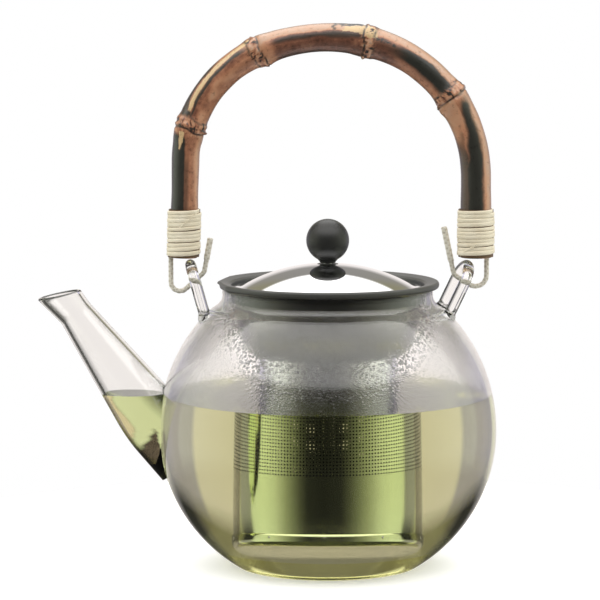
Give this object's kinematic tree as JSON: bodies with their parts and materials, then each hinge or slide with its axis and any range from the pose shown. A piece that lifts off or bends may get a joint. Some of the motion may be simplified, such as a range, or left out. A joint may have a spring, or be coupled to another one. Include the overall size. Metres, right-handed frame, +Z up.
{
  "type": "glass teapot with press infuser",
  "caption": "Round glass teapot with a straight spout, a steel press infuser, a domed lid with a ball knob, and a bamboo bail handle hooked through glass ears.",
  "frame": {"origin": "centre of the flat base, on the surface that the pot stands on", "axes": "+Z up along the pot's axis, the spout points to -X, the handle's arch lies in the XZ plane, -Y is the front"},
  "size_m": [0.1821, 0.134, 0.2158],
  "materials": {
    "glass": "clear polished",
    "bamboo": "scorched, satin",
    "rattan": "natural, satin",
    "wire": "drawn",
    "sleeve": "matte",
    "black_plastic": "satin",
    "knob_plastic": "satin gloss",
    "seal": "soft",
    "infuser_steel": "polished sheet",
    "lid_steel": "mirror polished"
  },
  "bodies": {
    "pot": {"glass_jug": "glass", "glass_spout": "glass", "glass_ear_left": "glass", "glass_ear_right": "glass"},
    "handle": {"bamboo_handle": "bamboo", "rattan_wrap_left": "rattan", "rattan_wrap_right": "rattan", "hook_wire_left": "wire", "hook_wire_right": "wire", "hook_sleeve_left": "sleeve", "hook_sleeve_right": "sleeve"},
    "infuser": {"infuser_collar": "black_plastic", "collar_seal": "seal", "infuser_funnel": "infuser_steel", "infuser_wall": "infuser_steel", "infuser_base": "infuser_steel"},
    "lid": {"lid_dome": "lid_steel", "lid_skirt": "black_plastic", "rod_bushing": "black_plastic"},
    "plunger": {"knob": "knob_plastic", "plunger_rod": "wire", "plunger_hub": "black_plastic", "plunger_disc": "infuser_steel", "plunger_seal": "seal", "plunger_nut": "wire"}
  },
  "joints": [
    {"name": "handle_swing", "type": "hinge", "parent": "pot", "child": "handle", "pos_m": [0, 0, 0.114], "axis": [1, 0, 0], "range_deg": [-45, 90]},
    {"name": "infuser_lift", "type": "slide", "parent": "pot", "child": "infuser", "axis": [0, 0, 1], "range_m": [0, 0.06]},
    {"name": "lid_lift", "type": "slide", "parent": "infuser", "child": "lid", "axis": [0, 0, 1], "range_m": [0, 0.06]},
    {"name": "plunger_lift", "type": "slide", "parent": "lid", "child": "plunger", "axis": [0, 0, 1], "range_m": [0, 0.05]}
  ]
}
